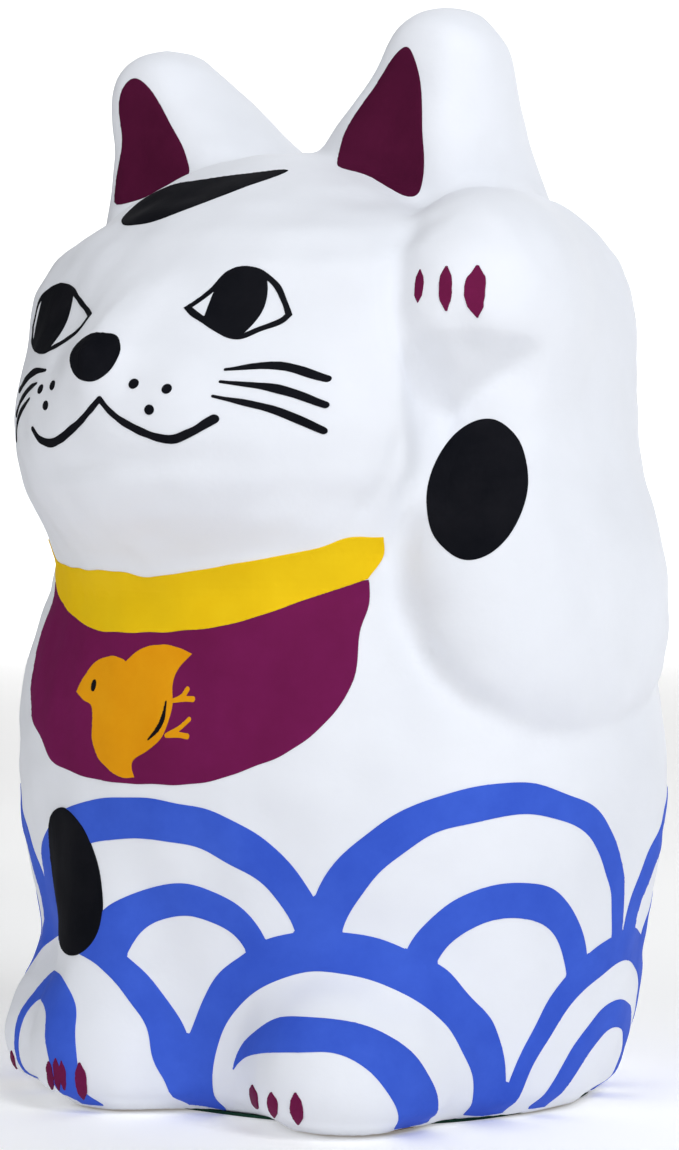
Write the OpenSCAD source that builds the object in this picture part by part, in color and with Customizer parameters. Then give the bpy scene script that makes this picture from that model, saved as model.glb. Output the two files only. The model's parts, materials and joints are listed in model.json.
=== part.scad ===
// Beckoning cat of moulded paper: two glued half shells with ears and a raised
// arm added, a card base and a lump of clay inside. The cat faces -Y, stands on
// Z = 0, and its own left side, with the raised arm, is at +X.

/* [Body] */
// Width of the belly
body_w = 106; // [92:1:128]
// Depth of the belly, front to back
body_d = 88; // [76:1:106]
// Height of the widest part of the belly
belly_z = 49; // [42:1:56]
// Width of the seat, just above the floor
seat_w = 92; // [80:1:100]
// Depth of the seat
seat_d = 77; // [68:1:86]
// Height of the neck, which carries the head and the raised arm
neck_z = 80; // [68:1:96]

/* [Head] */
// Width across the cheeks
cheek_w = 87; // [76:1:104]
// Depth of the head at the cheeks
cheek_d = 78; // [66:1:92]
// Height of the cheeks, top to bottom
cheek_h = 60; // [52:1:68]
// Cheeks above the neck
cheek_rise = 18; // [14:1:22]
// Width across the crown
crown_w = 80; // [68:1:94]
// Depth of the crown
crown_d = 70; // [60:1:80]
// Crown of the head above the neck
crown_top = 62; // [56:1:70]
// How far the head sits forward of the body
head_forward = 11; // [6:1:14]
// Width of the muzzle
muzzle_w = 37; // [30:1:44]
// Height of the muzzle
muzzle_h = 22; // [18:1:26]
// Muzzle above the neck
muzzle_rise = 19; // [16:1:22]
// Front of the muzzle, ahead of the body's axis
muzzle_reach = 52; // [50:1:56]

/* [Ears] */
// Distance between the two ear tips
ear_spread = 55; // [44:1:62]
// Distance between the two ear roots
ear_root_spread = 39; // [36:1:48]
// Thickness of an ear at its root
ear_root_d = 41; // [34:1:46]
// Thickness of an ear at its tip
ear_tip_d = 18; // [14:1:20]
// Ear tips above the neck
ear_top = 80; // [76:1:92]
// Ear fronts ahead of the body's axis
ear_front = 17.5; // [15:0.5:20]

/* [Raised arm] */
// Width of the upper arm, across the body
arm_w = 32; // [28:1:38]
// Depth of the upper arm, front to back
arm_d = 46; // [38:1:52]
// Height of the elbow's underside
elbow_z = 50; // [46:1:56]
// Width of the forearm
forearm_w = 30; // [24:1:32]
// Top of the raised arm above the neck
arm_top = 52; // [48:1:56]
// Width of the paw
paw_w = 30; // [26:1:34]
// Height of the paw
paw_h = 32; // [28:1:36]

/* [Feet] */
// Width of a hind foot
foot_w = 31; // [24:1:32]
// Length of a hind foot
foot_l = 34; // [28:1:38]
// Top of a hind foot
foot_top = 23; // [18:1:27]
// Distance between the hind feet
foot_spread = 53; // [52:1:64]
// How far the left hind foot stands ahead of the right one
foot_stagger = 5; // [-6:1:8]
// Width of the foreleg
leg_w = 28; // [24:1:32]
// Top of the foreleg
leg_top = 54; // [46:1:60]
// How far the foreleg stands to the cat's right of the middle
leg_offset = 10; // [6:1:14]

/* [Paper and glue] */
// Thickness of the moulded paper wall
wall = 2.4; // [1.6:0.1:3.2]
// Glue line between pieces
glue = 0.2; // [0.1:0.05:0.4]
// Thickness of the paper strips
strip_t = 0.4; // [0.3:0.1:0.8]
// Width of the strips over the cut
strip_w = 12; // [8:1:18]

/* [Base] */
// Thickness of the card board that closes the bottom
board_t = 1.8; // [1.2:0.1:3]
// Thickness of the dark paper under the board
facing_t = 0.4; // [0.3:0.1:0.8]
// Gap round the board
board_clear = 0.5; // [0.3:0.1:1]
// Width of the dark paper
facing_w = 76; // [68:1:82]
// Depth of the dark paper
facing_d = 65; // [58:1:70]
// Width and height of the paper strip that holds the board
hem_w = 5; // [3:0.5:7]
// Diameter of the clay weight
weight_d = 46; // [36:1:54]
// Height of the clay weight
weight_h = 12; // [8:1:16]

/* [Hidden] */

seam_y = 4;                        // plane of the cut between the halves
turn_z = neck_z + cheek_rise + 4;  // rays are level below it and tilt above it
far = 85;                          // outside every surface
columns = 44;                      // steps round each half
level_rows = 24;
tilt_rows = 13;
front_arc = [180, 360];
back_arc = [0, 180];
white = "white";
card = "tan";

// ---- the shape, as soft lumps that run into each other ----

// Signed distance, nearly, from p to an ellipsoid with centre c and radii r
function lump(p, c, r) =
    let (q = [(p.x - c.x) / r.x, (p.y - c.y) / r.y, (p.z - c.z) / r.z], k = norm(q))
    k * (k - 1) / max(norm([q.x / r.x, q.y / r.y, q.z / r.z]), 0.0001);

// Joins two distances with a fillet of about k
function blend(a, b, k) = let (h = max(k - abs(a - b), 0)) min(a, b) - h * h / (4 * k);

// Cuts one distance by another, with an edge rounded by about k
function trim(a, b, k) = -blend(-a, -b, k);

// Distance to a cone between two balls
function horn(p, a, b, ra, rb) =
    let (ab = b - a, t = min(1, max(0, (p - a) * ab / (ab * ab))))
    norm(p - a - t * ab) - ra - t * (rb - ra);

function trunk(p) = blend(
    lump(p, [0, 0, belly_z], [body_w, body_d, 2 * (neck_z + 27 - belly_z)] / 2),
    lump(p, [0, 1, 12], [seat_w / 2, seat_d / 2, 30]), 12);

function head(p) =
    let (cheeks = lump(p, [0, -head_forward, neck_z + cheek_rise], [cheek_w, cheek_d, cheek_h] / 2),
         crown = lump(p, [0, 2 - head_forward, neck_z + crown_top - 30], [crown_w / 2, crown_d / 2, 29]),
         brow = lump(p, [0, 1 - head_forward, neck_z + crown_top - 23], [crown_w / 2 + 5.5, crown_d / 2 - 2, 16]),
         muzzle = lump(p, [0, 12 - muzzle_reach, neck_z + muzzle_rise], [muzzle_w / 2, 12, muzzle_h / 2]),
         nose = lump(p, [0, 7 - muzzle_reach, neck_z + muzzle_rise + 9], [6, 10, 7]))
    blend(blend(blend(min(crown, brow), cheeks, 12), muzzle, 12), nose, 6);

function hind_foot(p, side) = lump(p, [side * foot_spread / 2, -25 - side * foot_stagger / 2, 9],
    [foot_w / 2, foot_l / 2, foot_top - 9]);

function foreleg(p) = blend(
    lump(p, [-leg_offset, -30, leg_top - 30], [leg_w / 2, 14, 30]),
    lump(p, [-leg_offset - 2, -36, 8], [leg_w / 2, 12, 12]), 6);

function tail(p) = horn(p, [10, body_d / 2 - 5, 8], [19, body_d / 2 - 7, 30], 8, 6);

function body(p) =
    let (torso = blend(trunk(p), head(p), 8),
         feet = min(hind_foot(p, 1), hind_foot(p, -1)))
    blend(blend(blend(torso, feet, 5), foreleg(p), 5), tail(p), 5);

// The body with the lower edge rounded off where it meets the base
function body_on_base(p) = trim(body(p), facing_t - p.z, 3);

function ear_root(side) = [side * ear_root_spread / 2, -4, neck_z + 50];
function ear_tip(side) = [side * ear_spread / 2, -9.5, neck_z + ear_top - ear_tip_d / 2];
function ear(p, side) = trim(
    horn(p, ear_root(side), ear_tip(side), ear_root_d / 2, ear_tip_d / 2), -ear_front - p.y, 4);

function arm(p) =
    let (out = body_w / 2,
         upper = lump(p, [out - 11, -5, elbow_z + 22], [arm_w / 2, arm_d / 2, 22]),
         fore = lump(p, [out - 17, -4, neck_z + arm_top - 33], [forearm_w / 2, 23.5, 34]),
         fist = lump(p, [out - 17, -4, neck_z + arm_top - 16], [14, 22, 15.5]),
         under = [0.4, -0.475, -0.78] * (p - [out - 4, -26, neck_z + arm_top - 21]),
         paw = trim(lump(p, [out - 14, -14, neck_z + arm_top - paw_h / 2], [paw_w, 34, paw_h] / 2), under, 3),
         wrist = lump(p, [out - 15, -14, neck_z + arm_top - paw_h + 5], [12, 12, 11]))
    blend(blend(upper, blend(fore, fist, 6), 12), blend(paw, wrist, 3), 4);

// ---- rays that find a surface ----

// Distance from o along d at which the field f falls to the given level
function reach(f, o, d, level = 0, t = far, n = 16) =
    n == 0 ? t : reach(f, o, d, level, t - (f(o + t * d) - level), n - 1);

// Start and direction of each row of rays, for a column at angle a
function row_z(i) = let (s = i / level_rows) facing_t + (turn_z - facing_t) * (0.35 * s * s + 0.65 * s);
function ray(i, a) = i <= level_rows
    ? [[0, seam_y, row_z(i)], [cos(a), sin(a), 0]]
    : let (e = 90 * (i - level_rows) / tilt_rows)
      [[0, seam_y, turn_z], [cos(a) * cos(e), sin(a) * cos(e), sin(e)]];
function on_ray(r, t) = r[0] + t * r[1];
function skin_point(f, i, a, level) = let (r = ray(i, a)) on_ray(r, reach(f, r[0], r[1], level));

// ---- closed solids from grids of points ----

// Quads of a grid of rows and columns that starts at point number k
function grid_faces(k, rows, cols, flip) =
    [for (i = [0 : rows - 2]) for (j = [0 : cols - 2])
        let (a = k + i * cols + j, q = [a, a + 1, a + cols + 1, a + cols])
        for (half = [[q[0], q[1], q[2]], [q[0], q[2], q[3]]])
            flip ? [half[2], half[1], half[0]] : half];

// A curved sheet with thickness: two grids of the same size, closed along four edges
module sheet(outer, inner) {
    rows = len(outer);
    cols = len(outer[0]);
    points = [for (grid = [outer, inner]) for (row = grid) each row];
    k = rows * cols;
    edge = concat([for (j = [0 : cols - 1]) j],
                  [for (i = [1 : rows - 1]) i * cols + cols - 1],
                  [for (j = [cols - 2 : -1 : 0]) (rows - 1) * cols + j],
                  [for (i = [rows - 2 : -1 : 1]) i * cols]);
    rim = [for (e = [0 : len(edge) - 1])
        let (a = edge[e], b = edge[(e + 1) % len(edge)])
        each [[a, b, b + k], [a, b + k, a + k]]];
    polyhedron(points, concat(grid_faces(0, rows, cols, true), grid_faces(k, rows, cols, false), rim));
}

// One half of the hollow figure, between two angles round the axis
module half_shell(arc) {
    rows = level_rows + tilt_rows;   // the pole is one more point
    angles = [for (j = [0 : columns]) arc[0] + (arc[1] - arc[0]) * j / columns];
    cols = len(angles);
    outer = [for (i = [0 : rows - 1]) for (a = angles) skin_point(function (p) body_on_base(p), i, a, 0)];
    inner = [for (i = [0 : rows - 1]) for (a = angles) skin_point(function (p) body(p), i, a, -wall)];
    poles = [for (level = [0, -wall]) skin_point(function (p) body(p), rows, arc[0], level)];
    n = rows * cols;
    top = (rows - 1) * cols;
    pole = 2 * n;
    faces = concat(
        grid_faces(0, rows, cols, true),
        grid_faces(n, rows, cols, false),
        [for (j = [0 : cols - 2]) [top + j, pole, top + j + 1]],
        [for (j = [0 : cols - 2]) [n + top + j, n + top + j + 1, pole + 1]],
        [for (j = [0 : cols - 2]) each [[j, j + 1, n + j + 1], [j, n + j + 1, n + j]]],
        [for (i = [0 : rows - 2]) let (a = i * cols, b = a + cols)
            each [[a, n + a, n + b], [a, n + b, b]]],
        [for (i = [0 : rows - 2]) let (a = i * cols + cols - 1, b = a + cols)
            each [[a, n + b, n + a], [a, b, n + b]]],
        [[top, n + top, pole + 1], [top, pole + 1, pole]],
        [[top + cols - 1, pole + 1, n + top + cols - 1], [top + cols - 1, pole, pole + 1]]);
    polyhedron(concat(outer, inner, poles), faces);
}

// A hollow piece glued on the field bed: f is its own field, seen from o along its middle direction m
module glued_shell(f, bed, o, m, rings, spokes) {
    w = m / norm(m);
    u = cross([0, 0, 1], w) / norm(cross([0, 0, 1], w));
    v = cross(w, u);
    aim = function (tilt, turn) cos(tilt) * w + sin(tilt) * (cos(turn) * u + sin(turn) * v);
    seat = function (d) reach(bed, o, d, 1.5 * glue);
    // Widest tilt at which the seat is still inside the piece's field
    edge = function (turn, level) let (find = function (find, lo, hi, n)
            n == 0 ? lo : let (mid = (lo + hi) / 2, d = aim(mid, turn))
            f(o + seat(d) * d) < level ? find(find, mid, hi, n - 1) : find(find, lo, mid, n - 1))
        find(find, 0, 85, 9);
    turns = [for (s = [0 : spokes - 1]) 360 * s / spokes];
    skin = function (level) let (edges = [for (a = turns) edge(a, level)])
        [for (r = [1 : rings]) for (s = [0 : spokes - 1])
            let (d = aim(edges[s] * r / rings, turns[s]))
            o + d * (r == rings ? seat(d) : max(seat(d), reach(f, o, d, level)))];
    outer = skin(0);
    inner = skin(-wall);
    n = rings * spokes;
    next = function (k) k % spokes == spokes - 1 ? k + 1 - spokes : k + 1;
    rows = [for (k = [0 : n - spokes - 1]) each
        [[k, next(k), next(k) + spokes], [k, next(k) + spokes, k + spokes]]];
    faces = concat(
        rows,
        [for (t = rows) [t[2] + n, t[1] + n, t[0] + n]],
        [for (s = [0 : spokes - 1]) [2 * n, next(s), s]],
        [for (s = [0 : spokes - 1]) [2 * n + 1, n + s, n + next(s)]],
        [for (k = [n - spokes : n - 1]) each [[next(k), k + n, k], [next(k), next(k) + n, k + n]]]);
    polyhedron(concat(outer, inner, [o + w * reach(f, o, w), o + w * reach(f, o, w, -wall)]), faces);
}

// ---- pieces ----

module front_shell() { color(white) half_shell(front_arc); }
module back_shell() { color(white) half_shell(back_arc); }

module glued_ear(side) {
    root = ear_root(side);
    along = ear_tip(side) - root;
    color(white)
        glued_shell(function (p) ear(p, side), function (p) body(p),
            root - 10 * along / norm(along), along, 12, 28);
}
module left_ear() { glued_ear(1); }
module right_ear() { glued_ear(-1); }

module raised_arm() {
    color(white)
        glued_shell(function (p) arm(p), function (p) min(body(p), ear(p, 1) - glue),
            [8, 4, neck_z + 25], [36, -8, -11], 16, 40);
}

// Strip of paper inside, over the cut: rows of rays from the first to the last
module seam_strip(rows, middle, first, last) {
    half = strip_w / 2;
    angle = function (i, x) middle + asin(x * half / (body_w / 2));
    layer = function (level) [for (k = [0 : rows])
        [for (x = [-1, -0.5, 0, 0.5, 1])
            let (i = first + (last - first) * k / rows)
            skin_point(function (p) body(p), i, angle(i, x), level)]];
    sheet(layer(-wall - glue), layer(-wall - glue - strip_t));
}
module left_seam_strip() { color(card) seam_strip(20, 0, 4, level_rows); }
module right_seam_strip() { color(card) seam_strip(20, 180, 4, level_rows); }

// The strip over the crown runs from side to side through the pole
module crown_strip() {
    half = strip_w / 2;
    tilts = [for (k = [0 : 24]) 22 + (180 - 44) * k / 24];
    layer = function (level) [for (e = tilts)
        [for (x = [-1, -0.5, 0, 0.5, 1])
            let (o = [0, seam_y, turn_z], t = reach(function (p) body(p), o, [cos(e), 0, sin(e)], level),
                 aim = [t * cos(e), x * half, t * sin(e)], d = aim / norm(aim))
            o + d * reach(function (p) body(p), o, d, level)]];
    color(card) sheet(layer(-wall - glue), layer(-wall - glue - strip_t));
}

// Outline of the inside of the shell at a height, drawn in by a gap
function inside_outline(z, gap, steps = 72) = [for (j = [0 : steps - 1])
    let (a = 360 * j / steps, d = [cos(a), sin(a), 0],
         t = reach(function (p) body(p), [0, seam_y, z], d, -wall) - gap)
    [t * cos(a), seam_y + t * sin(a)]];

module base_board() {
    color(card) translate([0, 0, facing_t]) linear_extrude(board_t)
        polygon(inside_outline(facing_t, board_clear));
}

// A rounded oval, wider than an ellipse of the same size
module base_facing() {
    color("darkslategray") linear_extrude(facing_t)
        polygon([for (a = [0 : 5 : 355])
            let (c = cos(a), s = sin(a))
            [facing_w / 2 * sign(c) * pow(abs(c), 0.8), facing_d / 2 * sign(s) * pow(abs(s), 0.8)]]);
}

// Folded strip round the board: one leg on the board, one up the wall
module base_strip() {
    z = facing_t + board_t;
    steps = 72;
    low = inside_outline(z, board_clear, steps);
    high = inside_outline(z + hem_w, glue, steps);
    ring = function (outline, inset, h) [for (q = outline)
        let (c = [0, seam_y], away = (q - c) / norm(q - c), s = q - away * inset) [s.x, s.y, h]];
    loops = [ring(low, hem_w, z), ring(low, 0, z), ring(high, 0, z + hem_w),
             ring(high, strip_t, z + hem_w), ring(low, strip_t, z + strip_t), ring(low, hem_w, z + strip_t)];
    points = [for (l = loops) each l];
    faces = [for (l = [0 : 5]) for (j = [0 : steps - 1])
        let (a = l * steps + j, b = l * steps + (j + 1) % steps, m = (l + 1) % 6,
             c = m * steps + (j + 1) % steps, d = m * steps + j)
        each [[a, c, b], [a, d, c]]];
    color(card) polyhedron(points, faces);
}

module clay_weight() {
    color("rosybrown") translate([0, seam_y, facing_t + board_t]) rotate_extrude()
        intersection() {
            scale([1, weight_h / (weight_d / 2)]) circle(d = weight_d, $fn = 72);
            square([weight_d, weight_d]);
        }
}

front_shell();
back_shell();
left_ear();
right_ear();
raised_arm();
crown_strip();
left_seam_strip();
right_seam_strip();
base_board();
base_facing();
base_strip();
clay_weight();
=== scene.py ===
"""Beckoning cat figurine of moulded and painted paper, dressed over its CAD frame."""

import json

import bmesh
import bpy
import numpy as np
from math import cos, radians, sin
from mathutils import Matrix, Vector

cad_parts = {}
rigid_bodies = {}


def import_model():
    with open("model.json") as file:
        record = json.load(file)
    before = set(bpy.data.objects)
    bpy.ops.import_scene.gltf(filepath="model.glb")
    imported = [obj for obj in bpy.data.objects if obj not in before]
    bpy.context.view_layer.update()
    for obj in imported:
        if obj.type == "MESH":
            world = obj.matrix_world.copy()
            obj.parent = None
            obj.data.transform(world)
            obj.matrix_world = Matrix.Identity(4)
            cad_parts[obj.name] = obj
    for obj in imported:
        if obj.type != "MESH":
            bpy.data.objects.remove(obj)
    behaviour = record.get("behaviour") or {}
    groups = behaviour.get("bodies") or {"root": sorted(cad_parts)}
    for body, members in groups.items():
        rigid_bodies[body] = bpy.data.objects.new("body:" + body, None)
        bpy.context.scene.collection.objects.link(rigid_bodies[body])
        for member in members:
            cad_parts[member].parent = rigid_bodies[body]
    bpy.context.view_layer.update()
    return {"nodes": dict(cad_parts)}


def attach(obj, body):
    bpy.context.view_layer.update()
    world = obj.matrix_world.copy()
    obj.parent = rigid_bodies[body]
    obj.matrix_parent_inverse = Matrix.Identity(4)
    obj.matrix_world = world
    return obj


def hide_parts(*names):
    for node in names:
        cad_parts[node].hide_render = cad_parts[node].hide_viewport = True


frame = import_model()
bpy.ops.object.select_all(action="DESELECT")

# ---- figure ----
# The whole cat: two half shells, ears and arm of pasted paper, under a coat of white ground that
# hides the joints. Copies of these nodes and the board are run together into one skin, which is
# then pressed in and drawn out as damp paper is over a mould.
nodes = frame["nodes"]
mm = 0.001
doubles = 0.001 * mm
voxel = 1.0 * mm
skin = bmesh.new()
for name, grown in (
    ("front_shell", 0.05),
    ("back_shell", 0.05),
    ("left_ear", 0.2),
    ("right_ear", 0.2),
    ("raised_arm", 0.2),
    ("base_board", 1),
):
    part = bmesh.new()
    part.from_mesh(nodes[name].data)
    bmesh.ops.remove_doubles(part, verts=part.verts, dist=doubles)
    part.normal_update()
    for v in part.verts:
        v.co += v.normal * grown * mm
    copied = bpy.data.meshes.new(name + "_copy")
    part.to_mesh(copied)
    part.free()
    skin.from_mesh(copied)
    bpy.data.meshes.remove(copied)
mesh = bpy.data.meshes.new("painted_skin")
skin.to_mesh(mesh)
skin.free()
figure = bpy.data.objects.new("painted_skin", mesh)
bpy.context.scene.collection.objects.link(figure)
figure.select_set(True)
bpy.context.view_layer.objects.active = figure
remesh = figure.modifiers.new("one_skin", "REMESH")
remesh.mode = "VOXEL"
remesh.voxel_size = voxel
bpy.ops.object.modifier_apply(modifier=remesh.name)

# Only the outside of the figure is kept: the largest of the closed surfaces
bpy.ops.object.mode_set(mode="EDIT")
bpy.ops.mesh.select_all(action="DESELECT")
bpy.ops.object.mode_set(mode="OBJECT")
points = np.empty(len(mesh.vertices) * 3)
mesh.vertices.foreach_get("co", points)
points = points.reshape(-1, 3)
mesh.vertices[int(points[:, 2].argmax())].select = True
bpy.ops.object.mode_set(mode="EDIT")
bpy.ops.mesh.select_mode(type="VERT")
bpy.ops.mesh.select_linked()
bpy.ops.mesh.select_all(action="INVERT")
bpy.ops.mesh.delete(type="VERT")
bpy.ops.mesh.select_all(action="SELECT")
# The steps of the voxels are rubbed out, each pull followed by an equal push so that nothing shrinks
rub, swell_back = 0.55, -0.57
for _ in range(14):
    bpy.ops.mesh.vertices_smooth(factor=rub)
    bpy.ops.mesh.vertices_smooth(factor=swell_back)
bpy.ops.mesh.vertices_smooth(factor=0.5, repeat=2)
bpy.ops.object.mode_set(mode="OBJECT")


def skin_arrays():
    """Points and outward directions of the skin, in millimetres."""
    p = np.empty(len(mesh.vertices) * 3)
    n = np.empty(len(mesh.vertices) * 3)
    mesh.vertices.foreach_get("co", p)
    mesh.vertex_normals.foreach_get("vector", n)
    return p.reshape(-1, 3) / mm, n.reshape(-1, 3)


def swell(p, centre, size):
    """A soft round weight: 1 at the centre, fading over the three sizes."""
    return np.exp(-(((p - centre) / size) ** 2).sum(1))


def ripple(p, length, seed):
    """A smooth uneven wave of about that length, between -1 and 1."""
    r = np.random.default_rng(seed)
    total = np.zeros(len(p))
    for _ in range(5):
        way = r.normal(size=3)
        way /= np.linalg.norm(way)
        total += np.sin(p @ way * 2 * np.pi / (length * r.uniform(0.7, 1.4)) + r.uniform(0, 6.28))
    return total / 3


near_turn = radians(40)
towards_near = (0.643, -0.766, 0)


def oblique(p):
    """The figure seen from 40 degrees round to its left: across, up."""
    return np.column_stack((p[:, 0] * cos(near_turn) + p[:, 1] * sin(near_turn), p[:, 2]))


curve_steps = 6


def curve(*knots):
    """Points of a smooth line through the knots."""
    k = np.array(knots, float)
    k = np.vstack((2 * k[0] - k[1], k, 2 * k[-1] - k[-2]))
    line = []
    for a, b, c, d in zip(k, k[1:], k[2:], k[3:]):
        for s in np.linspace(0, 1, curve_steps, endpoint=False):
            line.append(b + 0.5 * s * (c - a + s * (2 * a - 5 * b + 4 * c - d + s * (3 * (b - c) + d - a))))
    return np.array(line + [k[-2]])


def nearest(q, line):
    """Distance from each point of q to a line, and how far along it, from 0 to 1."""
    best = np.full(len(q), 1e9)
    along = np.zeros(len(q))
    for i, (a, b) in enumerate(zip(line, line[1:])):
        ab = b - a
        s = np.clip((q - a) @ ab / max(ab @ ab, 1e-9), 0, 1)
        d = np.linalg.norm(q - a - s[:, None] * ab, axis=1)
        along = np.where(d < best, (i + s) / (len(line) - 1), along)
        best = np.minimum(best, d)
    return best, along


def pressed(q, line, width, here):
    """A groove along a line in the flat view q: 1 on the line, fading over the width and at its ends."""
    d, along = nearest(q, line)
    at_end = 0.15
    rise = 8
    return np.exp(-((d / width) ** 2)) * np.minimum(1, rise * np.minimum(along, 1 - along) + at_end) * here


# How far each point goes out, in millimetres: first the unevenness of the paper
p, n = skin_arrays()
out = 0.3 * ripple(p, 24, 3) + 0.17 * ripple(p, 10, 5) + 0.06 * ripple(p, 5, 6) - 0.25
# On each side an eye socket, a cheek, the round back of the ear and its hollow front
for side in (-1, 1):
    out -= 0.4 * swell(p, (side * 17, -42, 114), (9, 9, 6))
    out += 0.35 * swell(p, (side * 11, -48, 101), (7, 8, 5))
    out += 2.5 * swell(p, (side * 27, -2, 151), (12, 10, 9)) * np.clip(n[:, 1] + 0.6, 0, 1)
    p[:, 1] += 0.9 * swell(p, (side * 25, -17, 143), (5, 6, 9))
# The crease below the mouth, and the chin
out -= 0.8 * swell(p, (2, -48, 93), (13, 12, 1.8))
out += 0.35 * swell(p, (2, -46, 88.5), (8, 10, 3.5))
# Creases of the pasted arm: beside the paw, below it, down the front edge, and to the collar
q = oblique(p)
near_side = (p[:, 0] > 12) & (n @ towards_near > -0.2)
for depth, width, line in (
    (0.7, 1.4, ((17, 129), (10.5, 125.5), (8, 121), (8, 113), (9.5, 108), (15, 100))),
    (0.5, 1.5, ((28, 110), (23, 105.5), (16, 100), (11.5, 94), (9.5, 86))),
    (0.5, 1.6, ((9.5, 88), (8, 80), (10, 70), (16, 62), (26, 57))),
    (0.4, 1.2, ((8.5, 98), (7, 91), (2, 85))),
):
    out -= depth * pressed(q, curve(*line), width, near_side)
# The underside of the paw falls back from its edge to its foot, and comes forward again below
across = q[:, 0]
edge = np.interp(across, (8.7, 12.7, 17.9, 23.5, 29.2), (110.3, 110.9, 110.9, 110.3, 109.2))
foot = np.interp(across, (8.7, 9.9, 12, 14.7, 19.5, 25, 29.2), (110.3, 106.3, 101.8, 99.5, 102, 105.4, 109.2))
slope, fade = 0.42, 15
under = np.clip(edge - q[:, 1], 0, edge - foot) * np.clip(1 - (foot - q[:, 1]) / fade, 0, 1)
out -= slope * under * near_side
# The top of the arm is lower; the right of the chest, the right cheek and the forehead are fuller
out -= 1.1 * swell(p, (54, -2, 121), (9, 11, 9))
out += 1.1 * swell(p, (-40, -22, 64), (12, 12, 14)) + 0.5 * swell(p, (-30, -30, 100), (10, 10, 10))
out += 1.6 * swell(p, (-31, -18, 129), (9, 9, 6))
p += n * out[:, None]
skin_foot, skin_top = 0.42, 160.1
p[:, 2] = np.clip(p[:, 2], skin_foot, skin_top)
mesh.vertices.foreach_set("co", (p * mm).ravel())
mesh.update()
bpy.ops.object.shade_smooth()


def noise(tree, scale, detail):
    """A noise node of that scale and detail."""
    node = tree.nodes.new("ShaderNodeTexNoise")
    node.inputs["Scale"].default_value = scale
    node.inputs["Detail"].default_value = detail
    return node


# What the brush leaves in the ground and in every paint: a mottle of thick and thin, and a fine grain
brushed = bpy.data.node_groups.new("brushed", "ShaderNodeTree")
brushed.interface.new_socket("Place", in_out="INPUT", socket_type="NodeSocketVector")
for name in ("Mottle Scale", "Mottle Detail", "Mottle Roughness"):
    brushed.interface.new_socket(name, in_out="INPUT", socket_type="NodeSocketFloat")
for name in ("Mottle", "Grain"):
    brushed.interface.new_socket(name, in_out="OUTPUT", socket_type="NodeSocketFloat")
given = brushed.nodes.new("NodeGroupInput")
made = brushed.nodes.new("NodeGroupOutput")
mottle = noise(brushed, 38, 4)
grain = noise(brushed, 900, 3)
brushed.links.new(given.outputs["Place"], mottle.inputs["Vector"])
brushed.links.new(given.outputs["Place"], grain.inputs["Vector"])
for name in ("Scale", "Detail", "Roughness"):
    brushed.links.new(given.outputs["Mottle " + name], mottle.inputs[name])
brushed.links.new(mottle.outputs["Fac"], made.inputs["Mottle"])
brushed.links.new(grain.outputs["Fac"], made.inputs["Grain"])


def coat(name, tones, roughness, gloss, mottling, grain_depth):
    """A matt brushed coat. Its mottling is a scale, detail and roughness, its tones two steps of it."""
    material = bpy.data.materials.new(name)
    material.use_nodes = True
    tree = material.node_tree
    shader = tree.nodes["Principled BSDF"]
    shader.inputs["Roughness"].default_value = roughness
    shader.inputs["Specular IOR Level"].default_value = gloss
    place = tree.nodes.new("ShaderNodeTexCoord")
    brush = tree.nodes.new("ShaderNodeGroup")
    brush.node_tree = brushed
    for key, value in zip(("Scale", "Detail", "Roughness"), mottling):
        brush.inputs["Mottle " + key].default_value = value
    tint = tree.nodes.new("ShaderNodeValToRGB")
    for stop, (position, colour) in zip(tint.color_ramp.elements, tones):
        stop.position = position
        stop.color = (*colour, 1)
    relief = tree.nodes.new("ShaderNodeBump")
    relief.name = "relief"
    relief.inputs["Strength"].default_value = 0.35
    relief.inputs["Distance"].default_value = grain_depth
    tree.links.new(place.outputs["Object"], brush.inputs["Place"])
    tree.links.new(brush.outputs["Mottle"], tint.inputs["Fac"])
    tree.links.new(tint.outputs["Color"], shader.inputs["Base Color"])
    tree.links.new(brush.outputs["Grain"], relief.inputs["Height"])
    tree.links.new(relief.outputs["Normal"], shader.inputs["Normal"])
    return material


# Matt white ground, a little cool where it lies thin, with soft lumps under its grain
cool, white = (0.80, 0.815, 0.86), (0.86, 0.875, 0.92)
ground = coat("white_ground", ((0.3, cool), (0.7, white)), 0.62, 0.28, (38, 4, 0.5), 0.00006)
tree = ground.node_tree
place = tree.nodes.new("ShaderNodeTexCoord")
lumps = noise(tree, 160, 3)
coarse = tree.nodes.new("ShaderNodeBump")
coarse.inputs["Strength"].default_value = 0.5
coarse.inputs["Distance"].default_value = 0.00035
tree.links.new(place.outputs["Object"], lumps.inputs["Vector"])
tree.links.new(lumps.outputs["Fac"], coarse.inputs["Height"])
tree.links.new(coarse.outputs["Normal"], tree.nodes["relief"].inputs["Normal"])

mesh.materials.clear()
mesh.materials.append(ground)
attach(figure, "root")
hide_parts("front_shell", "back_shell", "left_ear", "right_ear", "raised_arm")

# ---- eyes ----
# Black poster paint, brushed: a lid line with a large pupil between two corners of bare white.
# Every paint mark is a thin closed film, cut from the skin where its own pattern is above zero.
# A pattern gives millimetres inside the mark's edge, in a flat view of the skin.
skin_p, skin_n = skin_arrays()
mesh.calc_loop_triangles()
skin_t = np.empty(len(mesh.loop_triangles) * 3, int)
mesh.loop_triangles.foreach_get("vertices", skin_t)
skin_t = skin_t.reshape(-1, 3)


def front(p):
    """The figure seen from the front: across, up."""
    return p[:, [0, 2]]


body_round, body_middle = 50, 2


def wrap(p):
    """The body unrolled, as if 50 mm in radius: way round from the front to the cat's left, and height."""
    return np.column_stack((body_round * np.arctan2(p[:, 0], body_middle - p[:, 1]), p[:, 2]))


def ring(*knots):
    """Points of a smooth closed line through the knots."""
    line = curve(*(knots[-2:] + knots + knots[:2]))
    return line[2 * curve_steps : (2 + len(knots)) * curve_steps]


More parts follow.
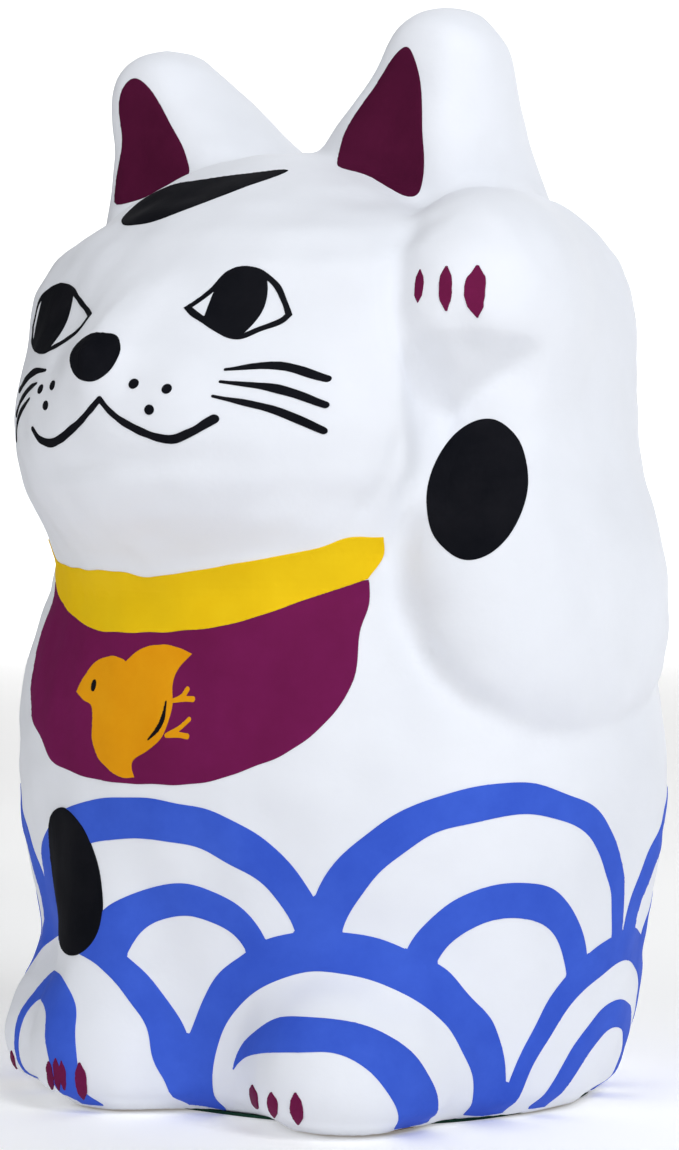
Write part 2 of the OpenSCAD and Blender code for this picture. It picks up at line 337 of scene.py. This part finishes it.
def filled(q, line):
    """Distance inside a closed outline; negative outside it."""
    shut = np.vstack((line, line[:1]))
    d, _ = nearest(q, shut)
    odd = np.zeros(len(q), bool)
    for a, b in zip(shut, shut[1:]):
        rises = (a[1] > q[:, 1]) != (b[1] > q[:, 1])
        with np.errstate(divide="ignore", invalid="ignore"):
            odd ^= rises & (q[:, 0] < (b[0] - a[0]) * (q[:, 1] - a[1]) / (b[1] - a[1]) + a[0])
    return np.where(odd, d, -d)


def stroke(q, line, widths):
    """A brush stroke along a line: half its width runs through the list, evenly spaced."""
    d, along = nearest(q, line)
    return np.interp(along, np.linspace(0, 1, len(widths)), widths) - d


def oval(q, centre, size, turn=0):
    """Distance inside an ellipse of half sizes, turned anticlockwise by degrees."""
    c, s = cos(radians(turn)), sin(radians(turn))
    d = (q - centre) @ np.array(((c, -s), (s, c)))
    k = np.linalg.norm(d / size, axis=1)
    return k * (1 - k) / np.maximum(np.linalg.norm(d / np.square(size), axis=1), 1e-6)


def shaky(q, seed, by=0.1, length=7):
    """The unsteady hand, in millimetres."""
    return by * ripple(np.column_stack((q, np.zeros(len(q)))), length, seed)


def split(p, n, t):
    """Every triangle becomes four."""
    pairs = np.sort(t[:, [0, 1, 1, 2, 2, 0]].reshape(-1, 2), 1)
    ends, which = np.unique(pairs, axis=0, return_inverse=True)
    m = which.reshape(-1, 3) + len(p)
    p = np.vstack((p, p[ends].mean(1)))
    n = np.vstack((n, n[ends].mean(1)))
    corners = [(t[:, 0], m[:, 0], m[:, 2]), (m[:, 0], t[:, 1], m[:, 1]), (m[:, 2], m[:, 1], t[:, 2])]
    corners.append((m[:, 0], m[:, 1], m[:, 2]))
    return p, n, np.vstack([np.column_stack(c) for c in corners])


def film(name, finish, pattern, where, splits, thick=0.12):
    """A closed film of paint on the skin where the pattern is above zero and the region holds."""
    sunk, thinner, least, clear = 0.05, 0.55, 0.004, 0.06
    p, n = skin_p, skin_n
    t = skin_t[where(p, n)[skin_t].all(1)]
    size = 1.8
    for step in range(splits + 1):
        used, t = np.unique(t, return_inverse=True)
        t = t.reshape(-1, 3)
        p, n = p[used], n[used]
        f = pattern(p)
        keep = (f[t] > -size).any(1)
        t = t[keep]
        if step < splits:
            p, n, t = split(p, n, t)
            size /= 2
    # A triangle that the edge crosses is cut along it, clear of its corners
    f = np.where(np.abs(f) < least, least, f)
    inside = f > 0
    count = inside[t].sum(1)
    first = np.where(count == 1, inside[t].argmax(1), (~inside[t]).argmax(1))
    turned = t[np.arange(len(t))[:, None], (first[:, None] + (0, 1, 2)) % 3]
    cut = turned[(count == 1) | (count == 2)]
    kind = count[(count == 1) | (count == 2)]
    pairs = np.sort(np.vstack((cut[:, [0, 1]], cut[:, [0, 2]])), 1)
    ends, which = np.unique(pairs, axis=0, return_inverse=True)
    which = which.reshape(2, -1) + len(p)
    share = np.clip(f[ends[:, 0]] / (f[ends[:, 0]] - f[ends[:, 1]]), clear, 1 - clear)[:, None]
    at_rim = np.arange(len(p) + len(ends)) >= len(p)
    p = np.vstack((p, p[ends[:, 0]] * (1 - share) + p[ends[:, 1]] * share))
    n = np.vstack((n, n[ends[:, 0]] * (1 - share) + n[ends[:, 1]] * share))
    one, two = kind == 1, kind == 2
    top = np.vstack((
        t[count == 3],
        np.column_stack((cut[one, 0], which[0, one], which[1, one])),
        np.column_stack((which[0, two], cut[two, 1], cut[two, 2])),
        np.column_stack((which[0, two], cut[two, 2], which[1, two])),
    ))
    # The film is the painted top, the same face turned over just below the skin, and a wall round them
    used, top = np.unique(top, return_inverse=True)
    top = top.reshape(-1, 3)
    p, n, at_rim = p[used], n[used], at_rim[used]
    n /= np.linalg.norm(n, axis=1)[:, None]
    count = len(p)
    sides = top[:, [0, 1, 1, 2, 2, 0]].reshape(-1, 2)
    code = sides[:, 0] * count + sides[:, 1]
    rim = sides[~np.isin(code, sides[:, 1] * count + sides[:, 0])]
    a, b = rim[:, 0], rim[:, 1]
    walls = np.vstack((np.column_stack((b, a, a + count)), np.column_stack((b, a + count, b + count))))
    rise = np.where(at_rim, thinner * thick, thick)[:, None]
    body = bpy.data.meshes.new(name)
    points = np.vstack((p + n * rise, p - n * sunk)) * mm
    faces = np.vstack((top, top[:, ::-1] + count, walls))
    body.from_pydata(points, [], faces.tolist())
    ob = bpy.data.objects.new(name, body)
    bpy.context.scene.collection.objects.link(ob)
    bpy.ops.object.select_all(action="DESELECT")
    ob.select_set(True)
    bpy.context.view_layer.objects.active = ob
    bpy.ops.object.shade_smooth_by_angle(angle=radians(38))
    body.materials.append(finish)
    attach(ob, "root")


def paint(name, colour, dry, roughness, streak=420):
    """Matt water paint: its colour drifts to the dry one where the brush ran out."""
    return coat(name, ((0.36, colour), (0.72, dry)), roughness, 0.04, (streak / 5, 5, 0.65), 0.00008)


black = paint("black_paint", (0.004, 0.0045, 0.007), (0.009, 0.009, 0.012), 0.7)


def face_side(p, n):
    """The part of the skin that the marks of the face are on."""
    return (p[:, 1] < -25) & (p[:, 2] > 90) & (p[:, 2] < 128) & (np.abs(p[:, 0]) < 36)


left_lid = curve(
    (10.5, 114.7), (13.4, 117.2), (15.4, 119.7), (17.8, 120.4),
    (20.4, 119.7), (22.7, 117.8), (24.1, 115.4), (25.1, 113.3),
)
left_low = curve(
    (25.1, 113.3), (24.1, 112.1), (21.9, 111), (19.8, 109.9),
    (17.8, 110.3), (14.8, 112), (12.2, 113.5), (10.5, 114.7),
)
right_lid = curve(
    (-5.2, 114.7), (-9, 116.4), (-12.3, 118.2), (-15.5, 119.8),
    (-19.3, 120.6), (-23.3, 120.1), (-27, 118.4), (-29.6, 115),
)
right_low = curve(
    (-29.6, 115), (-27.4, 112.7), (-23.6, 111), (-17.4, 109.7),
    (-13.9, 110), (-10.2, 111), (-6.6, 112.3), (-5.2, 114.7),
)
lid_line = 0.75


def eyes(p):
    q = front(p)
    left = filled(q, np.vstack((left_lid[:-1], left_low[:-1])))
    right = filled(q, np.vstack((right_lid[:-1], right_low[:-1])))
    left = np.minimum(left, np.maximum(lid_line - left, oval(q, (17.7, 115.2), (3.7, 6.2), -6)))
    right = np.minimum(right, np.maximum(lid_line - right, oval(q, (-19.6, 115), (6.5, 6.4), -10)))
    return np.maximum(left, right) + shaky(q, 1, 0.05, 3)


film("eyes", black, eyes, face_side, 3)

# ---- nose, mouth, freckles and whiskers ----
# The same black poster paint on the ground of the face. The mouth and the whiskers are single
# strokes that swell and fade with the pressure of the brush.
def nose_blob(p):
    q = front(p)
    blob = ring(
        (-4, 108), (-3.4, 109.8), (-1.6, 111), (1.4, 111.3), (3.8, 110.6), (5, 109),
        (4.8, 107.4), (3.6, 105.5), (1.6, 104.5), (-0.6, 104.6), (-2.8, 105.9),
    )
    return filled(q, blob) + shaky(q, 2, 0.06, 3)


film("nose", black, nose_blob, face_side, 3)


def mouth(p):
    q = front(p)
    left = curve((2.4, 101.9), (4.2, 100), (7.1, 98.1), (12.3, 96.1), (16, 97), (18.8, 98.8))
    right = curve((2.4, 101.9), (0.4, 100.3), (-3, 98.4), (-8, 96.4), (-12, 96.8), (-14.6, 98.6))
    f = stroke(q, left, (0.4, 0.45, 0.5, 0.6, 0.55, 0.6))
    f = np.maximum(f, stroke(q, right, (0.4, 0.45, 0.55, 0.65, 0.55, 0.35)))
    return f + shaky(q, 4, 0.06, 3)


film("mouth", black, mouth, face_side, 3)


def nothing(q):
    """A pattern with no mark in it, for marks to be added to."""
    return np.full(len(q), -99.0)


def freckles(p):
    q = front(p)
    f = nothing(q)
    for spot in ((7.4, 103.9), (12.7, 103), (10.3, 100.2), (-9.4, 104.5), (-13.2, 104.2), (-10.6, 101.7)):
        f = np.maximum(f, oval(q, spot, (0.75, 0.7)))
    return f + shaky(q, 6, 0.04, 2)


film("freckles", black, freckles, face_side, 3)


def whiskers(p):
    q = front(p)
    f = nothing(q)
    for line in (
        ((19.4, 105.6), (25.1, 106.1), (30.4, 104.3)),
        ((19.2, 103.9), (25.5, 102.9), (30.5, 100.7)),
        ((18.6, 101.9), (24.9, 100.1), (30.2, 97.2)),
        ((-13.6, 107), (-18.5, 107), (-25, 105)),
        ((-15.3, 105.2), (-19.5, 104.4), (-25.5, 101.4)),
        ((-16.7, 103), (-20.5, 101.4), (-25.5, 97.8)),
    ):
        f = np.maximum(f, stroke(q, curve(*line), (0.2, 0.4, 0.55, 0.6, 0.5)))
    return f + shaky(q, 7, 0.05, 4)


film("whiskers", black, whiskers, face_side, 3)

# ---- crown mark and body spots ----
# Three black patches of a spotted coat, in the same poster paint: a drop on the crown, an oval on
# the arm and another on the right foreleg.
def crown_mark(p):
    q = p[:, :2]
    drop = ring(
        (-14.4, -32), (-11.5, -35.5), (-7, -37.2), (-0.8, -37.4), (4.2, -34.9), (7.8, -31.2),
        (11.2, -24.6), (5.2, -27), (-2, -28.2), (-8, -27.8), (-13, -29),
    )
    return filled(q, drop) + shaky(q, 8, 0.08)


def crown(p, n):
    return (p[:, 2] > 124) & (p[:, 1] < -20)


film("crown_mark", black, crown_mark, crown, 2)


def arm_spot(p):
    q = oblique(p)
    return oval(q, (19.2, 89.3), (6.7, 9.9), -14) + shaky(q, 9, 0.15)


def arm_side(p, n):
    return (p[:, 0] > 30) & (p[:, 1] < -5) & (n[:, 1] < 0.1)


film("arm_spot", black, arm_spot, arm_side, 2)


def leg_spot(p):
    q = wrap(p)
    return oval(q, (-17.4, 33), (8.6, 11.4), 32) + shaky(q, 10, 0.15)


def legs(p, n):
    return (p[:, 1] < 0) & (p[:, 2] < 52)


over_waves = 0.22
film("leg_spot", black, leg_spot, legs, 2, over_waves)

# ---- ear linings ----
# Maroon water paint laid in the hollow front of each ear. Each is a tall leaf with a slanting
# foot, and the two are not quite alike.
maroon = paint("maroon_paint", (0.07, 0.005, 0.028), (0.09, 0.007, 0.036), 0.7)


def ear_lining(p):
    q = front(p)
    left = ring(
        (27.2, 153.2), (28.9, 149), (29.6, 141), (29.8, 134), (28.2, 131.5),
        (21.8, 134.9), (15.4, 137.5), (15.4, 142.2), (19.4, 147.6), (24.4, 152.5),
    )
    right = ring(
        (-28, 155), (-30.6, 152.5), (-30.3, 145), (-31.5, 136), (-23.5, 136.3),
        (-15.5, 137.2), (-16, 141.8), (-20, 147.2), (-24.4, 152.9),
    )
    return np.maximum(filled(q, left), filled(q, right)) + shaky(q, 11, 0.1)


def ear_fronts(p, n):
    return (p[:, 1] < -8) & (n[:, 1] < 0.05) & (p[:, 2] > 126)


film("ear_linings", maroon, ear_lining, ear_fronts, 2)

# ---- claws ----
# Short strokes of a deep magenta paint, pointed at both ends: three on the raised paw and a few
# on each front foot.
claw_paint = paint("claw_paint", (0.135, 0.008, 0.05), (0.18, 0.012, 0.07), 0.65)


def claws(q, lean, bulge, *marks):
    """Pointed strokes, each at an x, from its low to its high end, and half as wide as its last value."""
    f = nothing(q)
    for x, low, high, half in marks:
        line = curve((x - lean, high), (x + bulge, (low + high) / 2), (x + lean, low))
        taper = (0.2 * half, 0.85 * half, half, half, 0.8 * half, 0.15 * half)
        f = np.maximum(f, stroke(q, line, taper))
    return f


def paw_claws(p):
    q = front(p)
    f = claws(q, 0, 0.1, (39.9, 114.8, 119.2, 0.75), (43.9, 113.6, 119.4, 0.9), (47.4, 112.6, 119.4, 1.1))
    return f + shaky(q, 12, 0.06, 2)


def paw(p, n):
    return (p[:, 0] > 34) & (p[:, 1] < -18)


film("paw_claws", claw_paint, paw_claws, paw, 3)


def foot_claws(p):
    q = oblique(p)
    f = claws(
        q, 0.2, 0,
        (-11.6, 2.6, 6.8, 0.6), (-8.9, 2.8, 6.6, 0.7), (-5.6, 2.4, 6.9, 0.85),
        (-41.5, 3.2, 7.3, 0.5), (-40.4, 3.4, 8, 0.5), (-39.5, 3.6, 7.8, 0.5),
        (-36.8, 2.1, 7.6, 0.85), (-49, 2.3, 6, 0.35),
    )
    return f + shaky(q, 13, 0.06, 2)


def feet(p, n):
    return (p[:, 1] < -25) & (p[:, 2] < 12)


film("foot_claws", claw_paint, foot_claws, feet, 3, over_waves)

# ---- bib and collar ----
# A purple bib that hangs from a yellow collar band. Both are only painted, flat on the chest, and
# the collar's paint laps over the bib's top edge.
purple = paint("purple_paint", (0.15, 0.009, 0.068), (0.175, 0.011, 0.085), 0.7)
yellow = paint("yellow_paint", (0.82, 0.52, 0.006), (0.87, 0.58, 0.01), 0.65)


def chest(p, n):
    """The part of the skin that the bib and all on it are on."""
    return (p[:, 1] < -8) & (p[:, 2] > 40) & (p[:, 2] < 92) & (p[:, 0] < 44)


collar_top = curve(
    (-40, 83.5), (-33, 79.9), (-20, 78.6), (-7, 78.1), (0, 77.3),
    (14.6, 78.8), (28.8, 80.9), (35, 82.6), (40.6, 82.8),
)
collar_end = curve((40.6, 82.8), (40.6, 80), (38.2, 76.9))
collar_low = curve(
    (38.2, 76.9), (28.7, 74.1), (21, 71.8), (14, 70.3), (4.6, 69.5),
    (-4.4, 69.3), (-15.5, 69.8), (-28.6, 73), (-38, 77), (-40, 83.5),
)
bib_edge = curve(
    (38.4, 76.8), (38.2, 73.5), (36.9, 69.5), (35.8, 63), (33, 58.5), (28.5, 54.3),
    (23, 51.6), (17, 49.5), (10.5, 48.2), (4.4, 47.9), (-5.4, 47.8), (-14.3, 48.5),
    (-22, 49.8), (-28.4, 53.7), (-35.6, 58.5), (-38.5, 66), (-38.6, 76.8),
)
bib_top = ((-20, 72), (0, 71), (20, 74))


def collar(p):
    q = wrap(p)
    return filled(q, np.vstack((collar_top[:-1], collar_end[:-1], collar_low[:-1]))) + shaky(q, 14, 0.08)


def bib(p):
    q = wrap(p)
    return filled(q, np.vstack((bib_edge, bib_top))) + shaky(q, 15, 0.12)


over_bib, over_bird = 0.2, 0.28
film("bib", purple, bib, chest, 1)
film("collar", yellow, collar, chest, 2, over_bib)

# ---- bird ----
# A plump bird in flight, in orange paint over the bib. Its eye and the one line of its wing are
# black, on top of the orange.
orange = paint("orange_paint", (0.76, 0.30, 0.004), (0.82, 0.36, 0.008), 0.65)
head = ((-16.6, 60.6), (-15.2, 62.6), (-12.6, 65), (-9, 65.9), (-6, 65.6), (-4.8, 65.1))
wing = ((-4.8, 65.1), (-2, 66.9), (2.4, 67.7), (6, 67.2), (9.2, 66.4))
back = (
    (9.2, 66.4), (6.8, 64.4), (5.7, 62), (5.9, 58.5), (4.4, 54.6),
    (1.4, 52.6), (-1.6, 51.2), (-2, 50), (-1.3, 48.7),
)
belly = (
    (-1.3, 48.7), (-4.7, 48.7), (-9.3, 50.6), (-11.6, 53.6),
    (-12, 57), (-12.6, 58.8), (-14.6, 59.4), (-16.6, 60.6),
)
bird_line = np.vstack([curve(*line)[:-1] for line in (head, wing, back, belly)])


def bird(p):
    q = wrap(p)
    f = filled(q, bird_line)
    for toe in (
        ((5.8, 59.7), (7.6, 60.3), (8.6, 61.4)), ((5.8, 59.7), (7.8, 60), (9.8, 60)),
        ((5.2, 54.9), (7.6, 55.9), (9.4, 57.2)), ((5.2, 54.8), (7.4, 55), (9.2, 54.8)),
    ):
        f = np.maximum(f, stroke(q, curve(*toe), (0.3, 0.4, 0.4)))
    return f + shaky(q, 16, 0.06, 4)


def bird_marks(p):
    q = wrap(p)
    line = curve((4.7, 59.6), (4.4, 57.2), (3.4, 55.6), (1.6, 54.2))
    return np.maximum(stroke(q, line, (0.15, 0.45, 0.4, 0.15)), oval(q, (-12.1, 61.6), (0.6, 0.9), -12))


film("bird", orange, bird, chest, 3, over_bib)
film("bird_marks", black, bird_marks, chest, 3, over_bird)

# ---- waves ----
# Broad blue bands in two rows of nested scales, brushed right round the body. The lower row lies
# over the feet of the upper one. A scale is placed by its middle, in degrees round from the front.
blue = paint("blue_paint", (0.04, 0.10, 0.58), (0.055, 0.13, 0.66), 0.6)


mm_per_degree = 0.8727


def dome(q, middle, left, right, foot, top, power=2.0):
    """Distance inside a dome: half widths to each side in degrees, straight below its foot, rounded above."""
    x = (q[:, 0] / mm_per_degree - middle + 180) % 360 - 180
    half = np.where(x < 0, left, right)
    u = np.abs(x) / half
    v = np.maximum(q[:, 1] - foot, 0) / (top - foot)
    g = np.maximum((u**power + v**power) ** (1 / power), 1e-3)
    across, up = u ** (power - 1) / (half * mm_per_degree), v ** (power - 1) / (top - foot)
    slope = np.hypot(across, up) / g ** (power - 1)
    return (1 - g) / np.maximum(slope, 1e-4)


def scale(q, *domes):
    """A scale of nested domes, blue and bare by turns, and its outline."""
    d = [dome(q, *one) for one in domes]
    return np.maximum(np.minimum(d[0], -d[1]), np.minimum(d[2], -d[3])), d[0]


def even_scale(middle, *domes):
    """Domes for a scale that is the same to both sides: half width, foot and top of each."""
    return [(middle, half, half, foot, top) for half, foot, top in domes]


# The scales of the front and the near side are drawn one by one, and the rest repeat round the back
upper_scales = [
    (
        (0.5, 41.8, 35.6, 25, 45.9, 2.2), (2, 35, 29.2, 25, 40.1),
        (8.5, 22, 18.1, 22, 33.8), (9, 14.3, 13.7, 20, 29.5),
    ),
    (
        (66, 34.2, 28.6, 23, 48.7), (68, 30, 22.8, 22, 44.3),
        (67, 18.2, 17.5, 20, 34.8), (68, 14.7, 12.5, 18, 29.8),
    ),
]
for middle in (123.7, 180.1, 236.5, 292.8):
    upper_scales.append(even_scale(middle, (29, 24, 48), (24, 23, 43), (17, 20, 34.4), (12.5, 18, 29.5)))
lower_scales = [
    ((36, 31.9, 35, 0, 28.2), (36, 25.7, 27.5, 0, 22.4), (36, 21, 19.3, 0, 17.2), (36, 23.2, 11.9, 0, 12.8)),
    ((96, 26, 31, 0, 26.4), (96, 22.7, 25.5, 0, 21.6), (96, 16.8, 18.5, 0, 16.2), (96, 12.2, 12, 0, 12)),
    (
        (-27, 33, 37.5, 0, 29), (-27, 27, 29, 0, 23.8, 2.6),
        (-23, 15, 12.5, 0, 19.4, 3.2), (-27, 9.8, 11.2, 0, 15, 2.8),
    ),
]
for middle in (155, 214, 273):
    lower_scales.append(even_scale(middle, (31, 0, 27.5), (25.5, 0, 22.2), (18.5, 0, 16.8), (12.5, 0, 12.4)))
row_gap, blue_foot = 0.4, 1.0


def waves(p):
    q = wrap(p)
    q = q + np.column_stack((shaky(q, 17, 0.25, 9), shaky(q, 18, 0.25, 9)))
    high = nothing(q)
    low = nothing(q)
    cover = nothing(q)
    for one in upper_scales:
        high = np.maximum(high, scale(q, *one)[0])
    for one in lower_scales:
        bands, outline = scale(q, *one)
        low = np.maximum(low, bands)
        cover = np.maximum(cover, outline)
    f = np.maximum(np.minimum(high, row_gap - cover), low)
    return np.minimum(f, p[:, 2] - blue_foot + shaky(q, 19, 0.3, 12))


def lower_body(p, n):
    return p[:, 2] < 54


film("waves", blue, waves, lower_body, 1)

# ---- base and inner pieces ----
# A card board with dark green paper under it closes the figure. Paper strips are pasted over the
# joints inside, and a lump of clay on the board keeps it upright. Their nodes are the right shape.
strip_paper = (0.42, 0.36, 0.27)
darker = 0.8
for name, colour, roughness in (
    ("base_board", (0.30, 0.21, 0.12), 0.8),
    ("base_facing", (0.012, 0.05, 0.03), 0.7),
    ("base_strip", strip_paper, 0.8),
    ("crown_strip", strip_paper, 0.8),
    ("left_seam_strip", strip_paper, 0.8),
    ("right_seam_strip", strip_paper, 0.8),
    ("clay_weight", (0.22, 0.12, 0.08), 0.85),
):
    finish = paint(name + "_finish", colour, tuple(darker * c for c in colour), roughness, 300)
    nodes[name].data.materials.clear()
    nodes[name].data.materials.append(finish)

# ---- camera, floor and light ----
# A close view from the cat's left front, on a white sweep under two soft lamps. A grey card, the
# flag, stands on its right, out of the camera's view, and takes some light off that side.
camera = bpy.data.objects.new("camera", bpy.data.cameras.new("camera"))
bpy.context.scene.collection.objects.link(camera)
away, lens_height = 0.46, 0.074
camera.location = Vector((sin(near_turn), -cos(near_turn), 0)) * away + Vector((0, 0, lens_height))
camera.rotation_euler = (radians(90), 0, near_turn)
camera.data.lens = 93.9
camera.data.sensor_width = 36
camera.data.sensor_fit = "AUTO"
camera.data.shift_x = 0.0013
camera.data.shift_y = 0.0217
camera.data.clip_start = 0.01
bpy.context.scene.camera = camera

sweep_white, flag_grey = (0.93, 0.93, 0.93, 1), (0.2, 0.2, 0.19, 1)
for name, finish, size, at, turn, colour, glow in (
    ("floor", "floor_white", 12, (0, 0, 0), (0, 0, near_turn), sweep_white, 0.18),
    ("backdrop", "backdrop_white", 12, (-2.2, 2.6, 0), (radians(90), 0, near_turn), sweep_white, 1.0),
    ("flag", "flag_grey", 0.7, (-0.36, -0.12, 0.3), (0, radians(90), radians(12)), flag_grey, 0),
):
    bpy.ops.mesh.primitive_plane_add(size=size, location=at, rotation=turn)
    card = bpy.context.object
    card.name = name
    material = bpy.data.materials.new(finish)
    material.use_nodes = True
    shader = material.node_tree.nodes["Principled BSDF"]
    shader.inputs["Base Color"].default_value = colour
    shader.inputs["Roughness"].default_value = 0.9
    shader.inputs["Emission Color"].default_value = (1, 1, 1, 1)
    shader.inputs["Emission Strength"].default_value = glow
    card.data.materials.append(material)

chest_height = Vector((0, 0, 0.08))
for name, at, size, power, colour in (
    ("key", (0.85, -0.25, 0.75), 0.5, 5.6, (0.91, 0.95, 1)),
    ("front", (0.02, -1.0, 0.65), 0.8, 3.5, (0.95, 0.97, 1)),
):
    lamp = bpy.data.lights.new(name, "AREA")
    lamp.shape = "DISK"
    lamp.size = size
    lamp.energy = power
    lamp.color = colour
    ob = bpy.data.objects.new(name, lamp)
    bpy.context.scene.collection.objects.link(ob)
    ob.location = at
    ob.rotation_euler = (chest_height - Vector(at)).to_track_quat("-Z", "Y").to_euler()
world = bpy.data.worlds.new("room")
bpy.context.scene.world = world
world.use_nodes = True
world.node_tree.nodes["Background"].inputs["Color"].default_value = (1, 0.99, 0.98, 1)
world.node_tree.nodes["Background"].inputs["Strength"].default_value = 0.28
bpy.context.scene.view_settings.view_transform = "Standard"
